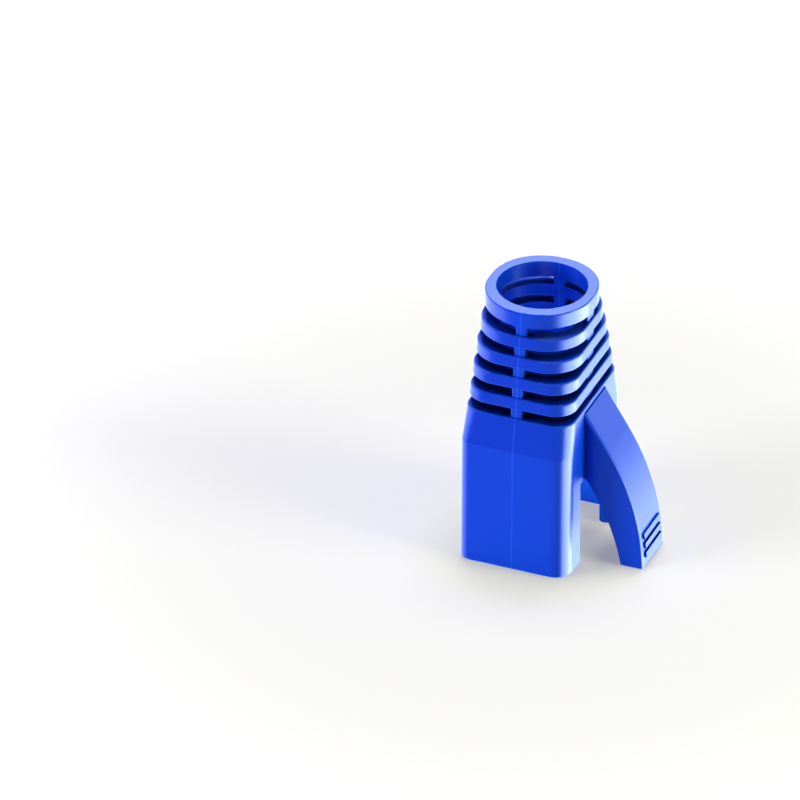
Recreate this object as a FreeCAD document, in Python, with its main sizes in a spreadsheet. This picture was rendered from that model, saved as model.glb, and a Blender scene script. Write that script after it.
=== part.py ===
import FreeCAD, Part
import math
import os
import re

import Sketcher
from FreeCAD import Placement, Rotation, Vector

# Strain relief boot for a modular plug, moulded in one piece.
# Millimetres. The origin is the centre of the plug mouth, with Z = 0 at its rim.
# +Z runs up the cable, +X points at the latch lever and -X at the face with dots.

os.makedirs("parts", exist_ok=True)
doc = FreeCAD.newDocument("StrainReliefBoot")
sheet = doc.addObject("Spreadsheet::Sheet", "Sizes")

SIZES = {
    # body around the plug: half widths at the mouth, at the crease and at the top
    "mouth_half_x": 5.3,
    "mouth_half_y": 7.1,
    "lever_side_corner": 1.7,
    "dot_side_corner": 1.1,
    "crease_height": 12.5,
    "crease_half_x": 5.25,
    "crease_half_y": 7,
    "body_height": 15.7,
    "body_top_half_x": 5.17,
    "body_top_half_y": 6.42,
    "body_top_corner": 1.8,
    "wall": 1.05,
    "side_wall": 0.9,
    "shoulder": 1.0,
    "socket_corner": 0.8,
    "mouth_round": 0.25,
    # flexible neck: rings parted by slots, then the collar
    "slot_height": 0.84,
    "ring_height": 1.18,
    "ring_draft": 5,
    "ring_count": 4,
    "neck_curve": 1.38,
    "collar_height": 1.58,
    "collar_half_x": 5,
    "collar_half_y": 5.25,
    "collar_corner": 4.8,
    "cable_hole_radius": 4.15,
    "passage_half_y": 4.75,
    "passage_corner": 3.7,
    "collar_lip": 0.07,
    "seam_rib_width": 1.07,
    "seam_rib_recess": 0.04,
    "side_rib_width": 1.6,
    "side_rib_recess": 0.25,
    "ring_upper_round": 0.15,
    "ring_lower_round": 0.2,
    "rib_round": 0.2,
    # latch lever: a channel section, its outer skin straight and then curved
    "lever_width": 5.3,
    "lever_skin": 0.95,
    "lever_flange": 0.67,
    "lever_root_x": 5.3,
    "lever_root_z": 15.25,
    "lever_bend_x": 7.57,
    "lever_bend_z": 11.65,
    "lever_tip_x": 11.02,
    "lever_tip_z": 0.1,
    "flange_root_z": 8.66,
    "flange_tip_x": 8.9,
    "flange_radius": 22.1,
    "lever_round": 0.3,
    # three raised bars near the tip of the lever
    "grip_count": 3,
    "grip_first_z": 1.02,
    "grip_pitch": 0.95,
    "grip_height": 0.52,
    "grip_width": 3.9,
    "grip_rise": 0.18,
    # opening in the wall behind the lever, for the latch of the plug
    "notch_half_width": 3.6,
    "notch_height": 8.4,
    # raised dots and the recessed panel on the face opposite the lever
    "dot_count": 3,
    "dot_radius": 0.8,
    "dot_rise": 0.25,
    "dot_pitch_y": 3.15,
    "dot_first_z": 1.95,
    "dot_pitch_z": 3.25,
    "dot_round": 0.12,
    "panel_half_width": 4.6,
    "panel_low": 10.9,
    "panel_high": 15.15,
    "panel_depth": 0.35,
}

for row, (alias, number) in enumerate(SIZES.items(), start=1):
    sheet.set(f"A{row}", alias)
    sheet.set(f"B{row}", str(number))
    sheet.setAlias(f"B{row}", alias)
doc.recompute()


def bound(text):
    """Turn an expression in the words of the sheet into one that FreeCAD can bind."""
    return re.sub(r"[a-z]\w*", lambda word: "Sizes." + word[0] if word[0] in SIZES else word[0], text)


def value(text):
    """Work out an expression in the words of the sheet as a plain number."""
    return float(sheet.evalExpression(bound(text)))


NEGLIGIBLE = 1e-4
SLOT_PITCH = "(slot_height + ring_height)"
COLLAR_FOOT = f"(body_height + ring_count * {SLOT_PITCH} + slot_height)"
TOTAL_HEIGHT = f"({COLLAR_FOOT} + collar_height)"
SOCKET_HEIGHT = "(body_height - shoulder)"

body = doc.addObject("PartDesign::Body", "StrainReliefBoot")
body.Label = "strain_relief_boot"


def plane(role):
    return next(item for item in body.Origin.OriginFeatures if item.Role == role)


def new_sketch(name, role, offset="0"):
    """Sketch on one of the body's origin planes, moved along its normal."""
    sketch = body.newObject("Sketcher::SketchObject", name)
    sketch.AttachmentSupport = [(plane(role), "")]
    sketch.MapMode = "FlatFace"
    sketch.AttachmentOffset = Placement(Vector(0, 0, value(offset)), Rotation())
    sketch.setExpression("AttachmentOffset.Base.z", bound(offset))
    return sketch


def bind(sketch, kind, geometry, text):
    """Add a dimension to a sketch and bind it to the sheet."""
    index = sketch.addConstraint(Sketcher.Constraint(kind, *geometry, value(text)))
    sketch.setExpression(f"Constraints[{index}]", bound(text))


def place_point(sketch, edge, end, across, up):
    """Fix the end of an edge by its two coordinates in the sketch."""
    bind(sketch, "DistanceX", (-1, 1, edge, end), across)
    bind(sketch, "DistanceY", (-1, 1, edge, end), up)


def line(sketch, start, end):
    """Straight edge between two points given as pairs of expressions."""
    ends = [Vector(value(across), value(up), 0) for across, up in (start, end)]
    return sketch.addGeometry(Part.LineSegment(*ends))


def polygon(sketch, points):
    """Closed outline of straight edges through points given as pairs of expressions."""
    edges = [line(sketch, start, end) for start, end in zip(points, points[1:] + points[:1])]
    for first, second in zip(edges, edges[1:] + edges[:1]):
        sketch.addConstraint(Sketcher.Constraint("Coincident", first, 2, second, 1))
    for edge, (across, up) in zip(edges, points):
        place_point(sketch, edge, 1, across, up)


def box_outline(sketch, low_across, high_across, low_up, high_up):
    low = [(low_across, low_up), (high_across, low_up)]
    high = [(high_across, high_up), (low_across, high_up)]
    polygon(sketch, low + high)


def rounded_section(name, height, half_x, half_y, corner, back_corner=None):
    """Level section of the boot: a box with round corners, which may differ front and back."""
    sketch = new_sketch(name, "XY_Plane", height)
    back_corner = back_corner or corner
    corners = [
        (half_x, half_y, corner, 1, 1),
        (f"-({half_x})", half_y, back_corner, -1, 1),
        (f"-({half_x})", f"-({half_y})", back_corner, -1, -1),
        (half_x, f"-({half_y})", corner, 1, -1),
    ]
    quarter = math.pi / 2
    arcs = []
    for turn, (across, up, radius, side_x, side_y) in enumerate(corners):
        centre = Vector(value(across) - side_x * value(radius), value(up) - side_y * value(radius), 0)
        circle = Part.Circle(centre, Vector(0, 0, 1), value(radius))
        arcs.append(sketch.addGeometry(Part.ArcOfCircle(circle, turn * quarter, (turn + 1) * quarter)))
        bind(sketch, "Radius", (arcs[-1],), radius)
    for turn, arc in enumerate(arcs):
        following = (turn + 1) % 4
        ends = [sketch.Geometry[arc].EndPoint, sketch.Geometry[arcs[following]].StartPoint]
        side = sketch.addGeometry(Part.LineSegment(*ends))
        sketch.addConstraint(Sketcher.Constraint("Tangent", arc, 2, side, 1))
        sketch.addConstraint(Sketcher.Constraint("Tangent", side, 2, arcs[following], 1))
        across, up = corners[following][:2]
        if turn % 2 == 0:
            sketch.addConstraint(Sketcher.Constraint("Horizontal", side))
            bind(sketch, "DistanceY", (-1, 1, side, 1), up)
        else:
            sketch.addConstraint(Sketcher.Constraint("Vertical", side))
            bind(sketch, "DistanceX", (-1, 1, side, 1), across)
    return sketch


def feature(kind, name, profile, **settings):
    """Add a feature to the body and check that it adds material, or takes some away where it cuts."""
    before = 0 if body.Shape.isNull() else body.Shape.Volume
    item = body.newObject(f"PartDesign::{kind}", name)
    item.Profile = profile
    for setting, choice in settings.items():
        if setting in ("Length", "TaperAngle"):
            item.setExpression(setting, bound(choice))
        else:
            setattr(item, setting, choice)
    doc.recompute()
    gain = item.Shape.Volume - before
    if kind in ("Pocket", "SubtractiveLoft"):
        gain = -gain
    if gain < NEGLIGIBLE:
        raise RuntimeError(f"{name} did not change the solid")
    return item


def loft(kind, name, sections):
    return feature(kind, name, sections[0], Sections=sections[1:], Ruled=True)


def middle(edge):
    return edge.valueAt((edge.FirstParameter + edge.LastParameter) / 2)


def round_edges(name, radius, wanted):
    """Round the edges of the body that a test picks out."""
    base = body.Tip
    edges = [f"Edge{place}" for place, edge in enumerate(body.Shape.Edges, start=1) if wanted(edge)]
    if not edges:
        raise RuntimeError(f"{name} found no edge")
    fillet = body.newObject("PartDesign::Fillet", name)
    fillet.Base = (base, edges)
    fillet.setExpression("Radius", bound(radius))
    doc.recompute()
    if not fillet.isValid():
        raise RuntimeError(f"{name} failed")
    return fillet


# body shell from the mouth up to the neck

mouth = rounded_section(
    "MouthSection", "0", "mouth_half_x", "mouth_half_y", "lever_side_corner", "dot_side_corner"
)
crease = rounded_section(
    "CreaseSection",
    "crease_height",
    "crease_half_x",
    "crease_half_y",
    "lever_side_corner",
    "dot_side_corner",
)
body_top = rounded_section(
    "BodyTopSection", "body_height", "body_top_half_x", "body_top_half_y", "body_top_corner"
)
loft("AdditiveLoft", "BodyShell", [mouth, crease, body_top])

# neck and collar: a core that the cable hole takes away later carries the rings


def circle_sketch(name, height, radius):
    sketch = new_sketch(name, "XY_Plane", height)
    edge = sketch.addGeometry(Part.Circle(Vector(0, 0, 0), Vector(0, 0, 1), value(radius)))
    sketch.addConstraint(Sketcher.Constraint("Coincident", edge, 3, -1, 1))
    bind(sketch, "Radius", (edge,), radius)
    return sketch


def neck_size(low, high, step):
    """Size of the neck at a ring, from the body's top at step 0 to the collar at the last step."""
    return f"({low} + ({high} - {low}) * ({step} / (ring_count + 1)) ^ neck_curve)"


def neck_section(name, height, step):
    return rounded_section(
        name,
        height,
        neck_size("body_top_half_x", "collar_half_x", step),
        neck_size("body_top_half_y", "collar_half_y", step),
        neck_size("body_top_corner", "collar_corner", step),
    )


def round_level(name, radius, *heights):
    """Round the outer edges that lie level at some heights of the neck."""
    def lies_at(edge, height):
        return all(abs(vertex.Z - height) < NEGLIGIBLE for vertex in edge.Vertexes)

    def wanted(edge):
        level = any(lies_at(edge, height) for height in heights)
        centre = middle(edge)
        return level and math.hypot(centre.x, centre.y) > value("cable_hole_radius")

    return round_edges(name, radius, wanted)


core = circle_sketch("CoreSketch", SOCKET_HEIGHT, "cable_hole_radius / 2")
feature("Pad", "Core", core, Length=f"{COLLAR_FOOT} - {SOCKET_HEIGHT}")
rings = range(1, int(value("ring_count")) + 1)
for ring in rings:
    foot = f"(body_height + slot_height + {ring - 1} * {SLOT_PITCH})"
    section = neck_section(f"RingSection{ring}", foot, ring)
    feature("Pad", f"Ring{ring}", section, Length="ring_height", TaperAngle="-ring_draft")
collar = neck_section("CollarSection", COLLAR_FOOT, "(ring_count + 1)")
feature("Pad", "Collar", collar, Length="collar_height")

pitch = value(SLOT_PITCH)
slot_feet = [value("body_height") + pitch * ring for ring in (0, *rings)]
slot_tops = [foot + value("slot_height") for foot in slot_feet]
round_level("UpperRounds", "ring_upper_round", *slot_feet, value(TOTAL_HEIGHT))
round_level("LowerRounds", "ring_lower_round", *slot_tops)

# ribs: the seam ribs stand almost flush with the rings, the side ribs stand back from them

for ring in (*rings, rings[-1] + 1):
    bar = rounded_section(
        f"SeamRibSection{ring}",
        f"body_height + {ring - 1} * {SLOT_PITCH} - ring_upper_round",
        "seam_rib_width / 2",
        neck_size("body_top_half_y", "collar_half_y", ring) + " - seam_rib_recess",
        "rib_round",
    )
    feature("Pad", f"SeamRib{ring}", bar, Length="slot_height + ring_upper_round + ring_lower_round")
side_bar = rounded_section(
    "SideRibSection",
    "body_height - ring_upper_round",
    "collar_half_x - side_rib_recess",
    "side_rib_width / 2",
    "rib_round",
)
side_rib_length = f"{COLLAR_FOOT} - body_height + ring_upper_round + ring_lower_round"
feature("Pad", "SideRibs", side_bar, Length=side_rib_length)

# socket for the plug, and the hole for the cable

socket_mouth = rounded_section(
    "SocketMouth", "0", "mouth_half_x - side_wall", "mouth_half_y - wall", "socket_corner"
)
socket_crease = rounded_section(
    "SocketCrease", "crease_height", "mouth_half_x - side_wall", "crease_half_y - wall", "socket_corner"
)
socket_end = rounded_section(
    "SocketEnd",
    SOCKET_HEIGHT,
    "mouth_half_x - side_wall",
    "body_top_half_y - wall + (crease_half_y - body_top_half_y) * shoulder / (body_height - crease_height)",
    "socket_corner",
)
loft("SubtractiveLoft", "Socket", [socket_mouth, socket_crease, socket_end])

passage_foot = rounded_section(
    "PassageFoot", SOCKET_HEIGHT, "cable_hole_radius + collar_lip", "passage_half_y", "passage_corner"
)
passage_top = rounded_section(
    "PassageTop",
    COLLAR_FOOT,
    "cable_hole_radius + collar_lip",
    "cable_hole_radius + collar_lip",
    "cable_hole_radius - collar_lip",
)
loft("SubtractiveLoft", "CablePassage", [passage_foot, passage_top])
cable_hole = circle_sketch("CableHoleSketch", TOTAL_HEIGHT, "cable_hole_radius")
feature("Pocket", "CableHole", cable_hole, Length="collar_height")

# opening behind the lever

notch = new_sketch("NotchSketch", "YZ_Plane")
box_outline(notch, "-notch_half_width", "notch_half_width", "-wall", "notch_height")
feature("Pocket", "Notch", notch, Length="mouth_half_x + wall", Reversed=True)

# panel and dots on the face opposite the lever

panel = new_sketch("PanelSketch", "YZ_Plane", "panel_depth - crease_half_x")
box_outline(panel, "-panel_half_width", "panel_half_width", "panel_low", "panel_high")
feature("Pocket", "Panel", panel, Length="wall")

dots = new_sketch("DotSketch", "YZ_Plane", "wall / 2 - crease_half_x")
for column in range(int(value("dot_count"))):
    for row in range(int(value("dot_count"))):
        across = f"dot_pitch_y * ({column} - (dot_count - 1) / 2)"
        up = f"dot_first_z + dot_pitch_z * {row}"
        centre = Vector(value(across), value(up), 0)
        dot = dots.addGeometry(Part.Circle(centre, Vector(0, 0, 1), value("dot_radius")))
        bind(dots, "Radius", (dot,), "dot_radius")
        place_point(dots, dot, 3, across, up)
DOT_FACE = "((mouth_half_x + crease_half_x) / 2 + dot_rise)"
feature("Pad", "Dots", dots, Length=f"{DOT_FACE} + wall / 2 - crease_half_x", Reversed=True)
round_edges("DotRounds", "dot_round", lambda edge: abs(middle(edge).x + value(DOT_FACE)) < NEGLIGIBLE)

# rounded rim of the mouth


def on_rim(edge):
    inside = value("mouth_half_x - side_wall") + NEGLIGIBLE
    return all(abs(vertex.Z) < NEGLIGIBLE and abs(vertex.X) < inside for vertex in edge.Vertexes)


round_edges("MouthRounds", "mouth_round", on_rim)

# latch lever: outer skin, then two flanges, then the grip bars

ROOT_X = "(body_top_half_x - wall / 2)"
RUN = "(lever_bend_x - lever_root_x)"
DROP = "(lever_root_z - lever_bend_z)"
STRAIGHT = f"sqrt({RUN} ^ 2 + {DROP} ^ 2)"
CURVE_ACROSS = "(lever_tip_x - lever_bend_x)"
CURVE_DOWN = "(lever_bend_z - lever_tip_z)"
# the curve goes on from the straight stretch without a kink, which sets its radius
CURVE_RADIUS = (
    f"(({CURVE_ACROSS} ^ 2 + {CURVE_DOWN} ^ 2) * {STRAIGHT}"
    f" / (2 * ({CURVE_DOWN} * {RUN} - {CURVE_ACROSS} * {DROP})))"
)
CENTRE_X = f"(lever_bend_x - {CURVE_RADIUS} * {DROP} / {STRAIGHT})"
CENTRE_Z = f"(lever_bend_z - {CURVE_RADIUS} * {RUN} / {STRAIGHT})"


def lever_arc(sketch, upper, lower, radius):
    """Arc of the lever that bulges away from the body, with its radius bound."""
    top, foot = (Vector(value(across), value(up), 0) for across, up in (upper, lower))
    chord = foot - top
    inwards = Vector(chord.y, -chord.x, 0).normalize()
    centre = (top + foot) / 2 + inwards * math.sqrt(value(radius) ** 2 - (chord.Length / 2) ** 2)
    angles = [math.atan2(point.y - centre.y, point.x - centre.x) for point in (foot, top)]
    circle = Part.Circle(centre, Vector(0, 0, 1), value(radius))
    arc = sketch.addGeometry(Part.ArcOfCircle(circle, *angles))
    bind(sketch, "Radius", (arc,), radius)
    return arc


def lever_profile(name, offset, lower_points, lower_radius):
    """Side view of the lever's outer side, closed by an arc and the points inside the body's wall."""
    sketch = new_sketch(name, "XZ_Plane", offset)
    root = (ROOT_X, "lever_root_z")
    shoulder = ("lever_root_x", "lever_root_z")
    bend = ("lever_bend_x", "lever_bend_z")
    tip = ("lever_tip_x", "lever_tip_z")
    toe, heel, *inside = lower_points
    outer = lever_arc(sketch, bend, tip, CURVE_RADIUS)
    inner = lever_arc(sketch, heel, toe, lower_radius)
    chain = [heel, *inside, root, shoulder, bend]
    sides = [line(sketch, start, end) for start, end in zip(chain, chain[1:])]
    sole = line(sketch, tip, toe)
    for first, second in zip(sides, sides[1:]):
        sketch.addConstraint(Sketcher.Constraint("Coincident", first, 2, second, 1))
    for edge, end, other, other_end in (
        (sides[-1], 2, outer, 2),
        (outer, 1, sole, 1),
        (sole, 2, inner, 1),
        (inner, 2, sides[0], 1),
    ):
        sketch.addConstraint(Sketcher.Constraint("Coincident", edge, end, other, other_end))
    for side, point in zip(sides, chain):
        place_point(sketch, side, 1, *point)
    place_point(sketch, sides[-1], 2, *bend)
    place_point(sketch, sole, 1, *tip)
    place_point(sketch, sole, 2, *toe)
    return sketch


# inner side of the skin: the outer side moved in by the thickness of the skin
SKIN_BEND = (
    f"lever_bend_x - lever_skin * {DROP} / {STRAIGHT}",
    f"lever_bend_z - lever_skin * {RUN} / {STRAIGHT}",
)
SKIN_ROOT_Z = f"{SKIN_BEND[1]} + ({SKIN_BEND[0]} - {ROOT_X}) * {DROP} / {RUN}"
SKIN_RADIUS = f"({CURVE_RADIUS} - lever_skin)"
SKIN_TOE = (f"{CENTRE_X} + sqrt({SKIN_RADIUS} ^ 2 - (lever_tip_z - {CENTRE_Z}) ^ 2)", "lever_tip_z")

skin = lever_profile("LeverSkinSketch", "0", [SKIN_TOE, SKIN_BEND, (ROOT_X, SKIN_ROOT_Z)], SKIN_RADIUS)
feature("Pad", "LeverSkin", skin, Length="lever_width", SideType="Symmetric")

flange = lever_profile(
    "LeverFlangeSketch",
    "lever_width / 2 - lever_flange",
    [("flange_tip_x", "lever_tip_z"), ("lever_root_x", "flange_root_z"), (ROOT_X, "flange_root_z")],
    "flange_radius",
)
flange_pad = feature("Pad", "LeverFlange", flange, Length="lever_flange")
flanges = body.newObject("PartDesign::Mirrored", "LeverFlanges")
flanges.Originals = [flange_pad]
flanges.MirrorPlane = (plane("XZ_Plane"), [""])
body.Tip = flanges
doc.recompute()


def on_lever_edge(edge):
    """Test for the long edges along the outer side of the lever."""
    centre = middle(edge)
    on_side = all(abs(abs(vertex.Y) - value("lever_width") / 2) < NEGLIGIBLE for vertex in edge.Vertexes)
    across = (centre.x - value("lever_root_x")) / value("lever_tip_x - lever_root_x")
    up = (centre.z - value("lever_tip_z")) / value("lever_root_z - lever_tip_z")
    return on_side and abs(centre.y) > value("lever_width") / 2 - NEGLIGIBLE and across + up > 1.01


round_edges("LeverRounds", "lever_round", on_lever_edge)


def lever_outside(height):
    """How far out the curved stretch of the lever's outer side is at a height."""
    return f"{CENTRE_X} + sqrt({CURVE_RADIUS} ^ 2 - ({height} - {CENTRE_Z}) ^ 2)"


grip = new_sketch("GripSketch", "XZ_Plane")
for step in range(int(value("grip_count"))):
    low = f"(grip_first_z + grip_pitch * {step})"
    high = f"({low} + grip_height)"
    polygon(grip, [
        (f"{lever_outside(low)} - lever_skin / 2", low),
        (f"{lever_outside(low)} + grip_rise", low),
        (f"{lever_outside(high)} + grip_rise", high),
        (f"{lever_outside(high)} - lever_skin / 2", high),
    ])
feature("Pad", "GripBars", grip, Length="grip_width", SideType="Symmetric")

# check and export

for item in doc.Objects:
    if "Invalid" in item.State or "Error" in item.State:
        raise RuntimeError(f"{item.Name} is {item.State}")
shape = body.Shape
if shape.isNull() or not shape.isValid() or len(shape.Solids) != 1:
    raise RuntimeError("the boot is not one sound solid")
shape.exportStep(f"parts/{body.Label}.step")
print(body.Label, round(shape.Volume, 1), shape.BoundBox)
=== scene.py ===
import math
from collections import namedtuple

import bpy
from mathutils import Matrix, Vector


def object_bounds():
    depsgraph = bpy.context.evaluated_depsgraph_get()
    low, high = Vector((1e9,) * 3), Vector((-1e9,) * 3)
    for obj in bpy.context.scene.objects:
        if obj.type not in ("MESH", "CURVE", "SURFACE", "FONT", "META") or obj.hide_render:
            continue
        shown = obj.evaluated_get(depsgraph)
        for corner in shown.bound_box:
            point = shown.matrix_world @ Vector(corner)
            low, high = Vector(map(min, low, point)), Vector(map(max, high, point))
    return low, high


# Strain relief boot, moulded in one piece of soft blue plastic.
# Metres, in the frame of the CAD model: the boot stands on its mouth at Z = 0.

MM = 0.001
WHITE = (1, 1, 1, 1)

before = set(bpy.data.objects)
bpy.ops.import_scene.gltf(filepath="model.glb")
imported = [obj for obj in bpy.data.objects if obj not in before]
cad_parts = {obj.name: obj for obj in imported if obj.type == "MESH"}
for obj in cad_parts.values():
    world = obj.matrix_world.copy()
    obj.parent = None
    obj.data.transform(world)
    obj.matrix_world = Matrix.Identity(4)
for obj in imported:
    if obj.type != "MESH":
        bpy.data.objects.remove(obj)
cad_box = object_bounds()
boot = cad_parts["strain_relief_boot"]
height = cad_box[1].z - cad_box[0].z


# camera of the photograph: a long lens looking down at the lever's side

AZIMUTH = math.radians(22.24)
ELEVATION = math.radians(31.75)
PICTURE = 800
FOCAL_PIXELS = 9515
SENSOR_WIDTH = 36
DISTANCE = 0.862
# nearest and farthest that the camera sees, as shares of its distance
NEAR_CLIP, FAR_CLIP = 0.1, 10
# the lower edge of the near side, halfway along it, and where it lies in the picture
REFERENCE = Vector((0, -7.1 * MM, 0))
REFERENCE_ACROSS = 511.2
REFERENCE_DOWN = 570.1

right = Vector((math.cos(AZIMUTH), math.sin(AZIMUTH), 0))
forward = Vector((
    -math.sin(AZIMUTH) * math.cos(ELEVATION),
    math.cos(AZIMUTH) * math.cos(ELEVATION),
    -math.sin(ELEVATION),
))
up = right.cross(forward)


def add_camera():
    """Camera placed so that the reference point falls on its spot in the picture."""
    pixel = DISTANCE / FOCAL_PIXELS
    across = (REFERENCE_ACROSS - PICTURE / 2) * pixel
    above = (PICTURE / 2 - REFERENCE_DOWN) * pixel
    place = REFERENCE - right * across - up * above - forward * DISTANCE
    data = bpy.data.cameras.new("Camera")
    data.sensor_width = SENSOR_WIDTH
    data.lens = FOCAL_PIXELS * SENSOR_WIDTH / PICTURE
    data.clip_start = DISTANCE * NEAR_CLIP
    data.clip_end = DISTANCE * FAR_CLIP
    camera = bpy.data.objects.new("Camera", data)
    turn = Matrix((right, up, -forward)).transposed()
    camera.matrix_world = Matrix.Translation(place) @ turn.to_4x4()
    bpy.context.collection.objects.link(camera)
    bpy.context.scene.camera = camera


# nodes


def feed(tree, value, socket):
    """Give a socket a plain value, or link another node's output to it."""
    if isinstance(value, bpy.types.NodeSocket):
        tree.links.new(value, socket)
    else:
        socket.default_value = value


def add_node(tree, kind, **inputs):
    """New node with its named inputs set or linked."""
    node = tree.nodes.new(kind)
    for name, value in inputs.items():
        feed(tree, value, node.inputs[name])
    return node


def map_range(tree, value, start, end, first=0, last=1, interpolation="LINEAR"):
    """A value from start to end becomes one from first to last."""
    node = tree.nodes.new("ShaderNodeMapRange")
    node.interpolation_type = interpolation
    inputs = {"Value": value, "From Min": start, "From Max": end, "To Min": first, "To Max": last}
    for name, given in inputs.items():
        feed(tree, given, node.inputs[name])
    return node.outputs["Result"]


def mix_colours(tree, factor, first, last):
    """The first colour where the factor is 0, the last where it is 1."""
    node = tree.nodes.new("ShaderNodeMix")
    node.data_type = "RGBA"
    for name, given in {"Factor": factor, "A": first, "B": last}.items():
        feed(tree, given, node.inputs[name])
    return node.outputs["Result"]


def join_shaders(tree, kind, *parts):
    """Shader node of this kind that takes the parts in the order of its inputs."""
    node = tree.nodes.new(kind)
    for socket, part in zip(node.inputs, parts):
        feed(tree, part, socket)
    return node.outputs["Shader"]


def new_material(name):
    """New material, its node tree and its main shader."""
    material = bpy.data.materials.new(name)
    material.use_nodes = True
    return material, material.node_tree, material.node_tree.nodes["Principled BSDF"]


# materials

PLASTIC_COLOUR = (0.001, 0.039, 0.61, 1)
# the parting line's lighter blue is a painted highlight on the seam
PARTING_LINE_HIGHLIGHT = (0.004, 0.085, 0.78, 1)
PLASTIC_ROUGHNESS = 0.3
PLASTIC_IOR = 1.5
GRAIN_SCALE = 2600
GRAIN_DETAIL = 3
GRAIN_STRENGTH = 0.12
GRAIN_DEPTH = 0.03 * MM
# half widths of the parting line, where its full colour ends and where it is gone
PARTING_CORE = 0.03 * MM
PARTING_EDGE = 0.07 * MM
# painted shade, the colour that slots and inner corners turn to
PAINTED_HOLLOW_SHADE = (0.0, 0.003, 0.035, 1)
# how far away the plastic still shades itself, and between which shares of open surroundings
# the painted shade leaves its colour and its gloss comes up
HOLLOW_REACH = 1.6 * MM
COLOUR_FROM, COLOUR_TO = 0.34, 0.74
GLOSS_FROM, GLOSS_TO = 0.66, 0.94
FULL_GLOSS = 0.5


def blue_plastic():
    """Soft blue plastic: satin, with a fine grain, a painted highlight on the parting line and
    painted shade in its hollows.
    """
    material, tree, shader = new_material("BluePlastic")
    feed(tree, PLASTIC_ROUGHNESS, shader.inputs["Roughness"])
    feed(tree, PLASTIC_IOR, shader.inputs["IOR"])
    place = tree.nodes.new("ShaderNodeTexCoord").outputs["Object"]
    grain = add_node(
        tree,
        "ShaderNodeTexNoise",
        Vector=place,
        Scale=GRAIN_SCALE,
        Detail=GRAIN_DETAIL,
    )
    bump = add_node(
        tree,
        "ShaderNodeBump",
        Height=grain.outputs["Fac"],
        Strength=GRAIN_STRENGTH,
        Distance=GRAIN_DEPTH,
    )
    feed(tree, bump.outputs["Normal"], shader.inputs["Normal"])
    # parting line of the mould, down the middle of the narrow faces; its lighter blue is a painted
    # highlight where the seam catches the light
    axes = add_node(tree, "ShaderNodeSeparateXYZ", Vector=place)
    off_line = tree.nodes.new("ShaderNodeMath")
    off_line.operation = "ABSOLUTE"
    feed(tree, axes.outputs["X"], off_line.inputs[0])
    beside_line = map_range(tree, off_line.outputs["Value"], PARTING_CORE, PARTING_EDGE)
    open_colour = mix_colours(tree, beside_line, PARTING_LINE_HIGHLIGHT, PLASTIC_COLOUR)
    # painted shade: ambient occlusion turns the colour near black and takes the gloss away in slots
    # and inner corners
    hollow = add_node(tree, "ShaderNodeAmbientOcclusion", Distance=HOLLOW_REACH)
    hollow.only_local = True
    openness = map_range(tree, hollow.outputs["AO"], COLOUR_FROM, COLOUR_TO)
    feed(tree, mix_colours(tree, openness, PAINTED_HOLLOW_SHADE, open_colour), shader.inputs["Base Color"])
    gloss = map_range(tree, hollow.outputs["AO"], GLOSS_FROM, GLOSS_TO, last=FULL_GLOSS)
    feed(tree, gloss, shader.inputs["Specular IOR Level"])
    return material


# the boot throws blue light on the floor close to it, which a warmer floor evens out
NEAR_FLOOR_COLOUR = (0.58, 0.575, 0.47, 1)
FAR_FLOOR_COLOUR = (0.575, 0.57, 0.6, 1)
WARM_FLOOR_END = 8 * MM
PLAIN_FLOOR_START = 14 * MM
# how much white is added for the camera, close to the boot and far from it; the smaller lift close
# to the boot is painted shade around it, on top of the real soft shadow
NEAR_LIFT, FAR_LIFT = 0.28, 0.9
LIFT_START = 25 * MM
LIFT_END = 110 * MM


def pale_floor():
    """Floor that shows white to the camera and still takes the boot's soft shadow, with painted
    shade close to the boot.
    """
    material, tree, shader = new_material("PaleFloor")
    feed(tree, 1, shader.inputs["Roughness"])
    feed(tree, 0, shader.inputs["Specular IOR Level"])
    place = tree.nodes.new("ShaderNodeNewGeometry").outputs["Position"]
    length = tree.nodes.new("ShaderNodeVectorMath")
    length.operation = "LENGTH"
    feed(tree, place, length.inputs[0])
    distance = length.outputs["Value"]
    plainness = map_range(tree, distance, WARM_FLOOR_END, PLAIN_FLOOR_START)
    colour = mix_colours(tree, plainness, NEAR_FLOOR_COLOUR, FAR_FLOOR_COLOUR)
    feed(tree, colour, shader.inputs["Base Color"])
    rise = map_range(tree, distance, LIFT_START, LIFT_END, NEAR_LIFT, FAR_LIFT, "SMOOTHSTEP")
    lift = tree.nodes.new("ShaderNodeMath")
    lift.operation = "MULTIPLY"
    feed(tree, rise, lift.inputs[0])
    feed(tree, tree.nodes.new("ShaderNodeLightPath").outputs["Is Camera Ray"], lift.inputs[1])
    feed(tree, WHITE, shader.inputs["Emission Color"])
    feed(tree, lift.outputs["Value"], shader.inputs["Emission Strength"])
    return material


# stage and lights

FLOOR_HALF = 1.5


def add_floor():
    """Square floor under the boot, which reflections don't see."""
    mesh = bpy.data.meshes.new("Floor")
    corners = [
        (-FLOOR_HALF, -FLOOR_HALF, 0),
        (FLOOR_HALF, -FLOOR_HALF, 0),
        (FLOOR_HALF, FLOOR_HALF, 0),
        (-FLOOR_HALF, FLOOR_HALF, 0),
    ]
    mesh.from_pydata(corners, [], [range(4)])
    mesh.materials.append(pale_floor())
    floor = bpy.data.objects.new("Floor", mesh)
    floor.location.z = cad_box[0].z
    floor.visible_glossy = False
    bpy.context.collection.objects.link(floor)


def towards(turn, rise):
    """Direction from the boot: turned to the right of the camera and raised, in degrees."""
    toward_camera = -Vector((forward.x, forward.y, 0)).normalized()
    level = toward_camera * math.cos(math.radians(turn)) + right * math.sin(math.radians(turn))
    return level * math.cos(math.radians(rise)) + Vector((0, 0, math.sin(math.radians(rise))))


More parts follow.
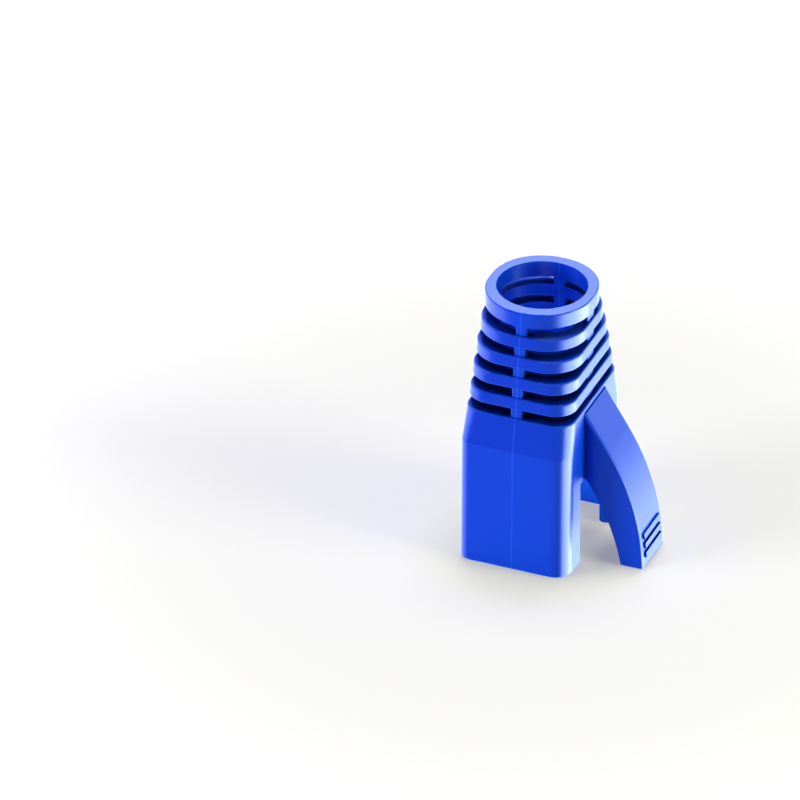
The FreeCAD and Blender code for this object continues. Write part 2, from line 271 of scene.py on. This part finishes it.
def add_lamp(name, place, aim, size, power, spread=180, colour=WHITE[:3]):
    """Square light that gives the boot its shading but no reflection."""
    data = bpy.data.lights.new(name, "AREA")
    data.size = size
    data.energy = power
    data.color = colour
    data.spread = math.radians(spread)
    lamp = bpy.data.objects.new(name, data)
    lamp.location = place
    lamp.rotation_euler = (aim - place).to_track_quat("-Z", "Y").to_euler()
    lamp.visible_glossy = False
    lamp.visible_camera = False
    bpy.context.collection.objects.link(lamp)


def add_softbox(name, turn, rise, distance, size, power, colour=WHITE[:3]):
    """Square light aimed at the boot's middle."""
    middle = Vector((0, 0, height / 2))
    place = middle + towards(turn, rise) * distance
    add_lamp(name, place, middle, size, power, colour=colour)


# light all round, apart from what the camera sees and what the plastic reflects
WORLD_STRENGTH = 0.06
WARM = (1.0, 1.0, 0.53)

# round panels that the plastic reflects: angles in degrees, with the edge as the soft rim
# outside the radius
Panel = namedtuple("Panel", "turn rise radius edge brightness colour")
PALE = (0.74, 0.935, 1.0, 1)
BLUE = (0.02, 0.26, 1.0, 1)
PANELS = [
    Panel(turn=78, rise=-28, radius=18, edge=26, brightness=15.0, colour=PALE),
    Panel(turn=142, rise=-34, radius=28, edge=24, brightness=3.6, colour=PALE),
    Panel(turn=-130, rise=-28, radius=38, edge=18, brightness=2.6, colour=PALE),
    Panel(turn=172, rise=64, radius=26, edge=16, brightness=9.5, colour=PALE),
    Panel(turn=-44, rise=-54, radius=17, edge=18, brightness=2.9, colour=BLUE),
]


def add_panel(tree, place, panel):
    """Background shader that glows in the panel's direction."""
    nearness = tree.nodes.new("ShaderNodeVectorMath")
    nearness.operation = "DOT_PRODUCT"
    feed(tree, place, nearness.inputs[0])
    feed(tree, towards(panel.turn, panel.rise), nearness.inputs[1])
    outside = math.cos(math.radians(panel.radius + panel.edge))
    inside = math.cos(math.radians(panel.radius))
    strength = map_range(
        tree,
        nearness.outputs["Value"],
        outside,
        inside,
        last=panel.brightness,
        interpolation="SMOOTHSTEP",
    )
    glow = add_node(tree, "ShaderNodeBackground", Color=panel.colour, Strength=strength)
    return glow.outputs["Background"]


def add_world():
    """White to the camera, an even dim light all round, and bright panels for reflections alone."""
    world = bpy.data.worlds.new("World")
    world.use_nodes = True
    tree = world.node_tree
    place = tree.nodes.new("ShaderNodeTexCoord").outputs["Generated"]
    glows = [add_panel(tree, place, panel) for panel in PANELS]
    reflected = glows[0]
    for glow in glows[1:]:
        reflected = join_shaders(tree, "ShaderNodeAddShader", reflected, glow)
    even = tree.nodes["Background"]
    feed(tree, WHITE, even.inputs["Color"])
    feed(tree, WORLD_STRENGTH, even.inputs["Strength"])
    white = add_node(tree, "ShaderNodeBackground", Color=WHITE)
    rays = tree.nodes.new("ShaderNodeLightPath").outputs
    lit = join_shaders(
        tree, "ShaderNodeMixShader", rays["Is Glossy Ray"], even.outputs["Background"], reflected
    )
    seen = join_shaders(
        tree, "ShaderNodeMixShader", rays["Is Camera Ray"], lit, white.outputs["Background"]
    )
    feed(tree, seen, tree.nodes["World Output"].inputs["Surface"])
    bpy.context.scene.world = world


boot.data.materials.clear()
boot.data.materials.append(blue_plastic())
add_camera()
add_floor()
add_world()
add_softbox("FrontLeftLight", turn=-72, rise=5, distance=0.35, size=0.16, power=1.8)
add_softbox("RightLight", turn=66, rise=6, distance=0.35, size=0.16, power=1.95, colour=WARM)
add_softbox("TopLight", turn=172, rise=78, distance=0.5, size=0.26, power=2.0)
# light that falls into the socket, onto the inner side of the wall away from the camera
add_lamp(
    "InsideLight",
    place=Vector((-1, -3, 2.4)) * MM,
    aim=Vector((3, 6, 3)) * MM,
    size=3 * MM,
    power=0.00018,
    spread=60,
    colour=WARM,
)
# light that falls through the cable hole, onto the inner side of the neck
add_lamp(
    "NeckLight",
    place=Vector((0, -2.5, 22)) * MM,
    aim=Vector((1, 5, 19)) * MM,
    size=2 * MM,
    power=0.00015,
)
bpy.context.scene.view_settings.view_transform = "Standard"
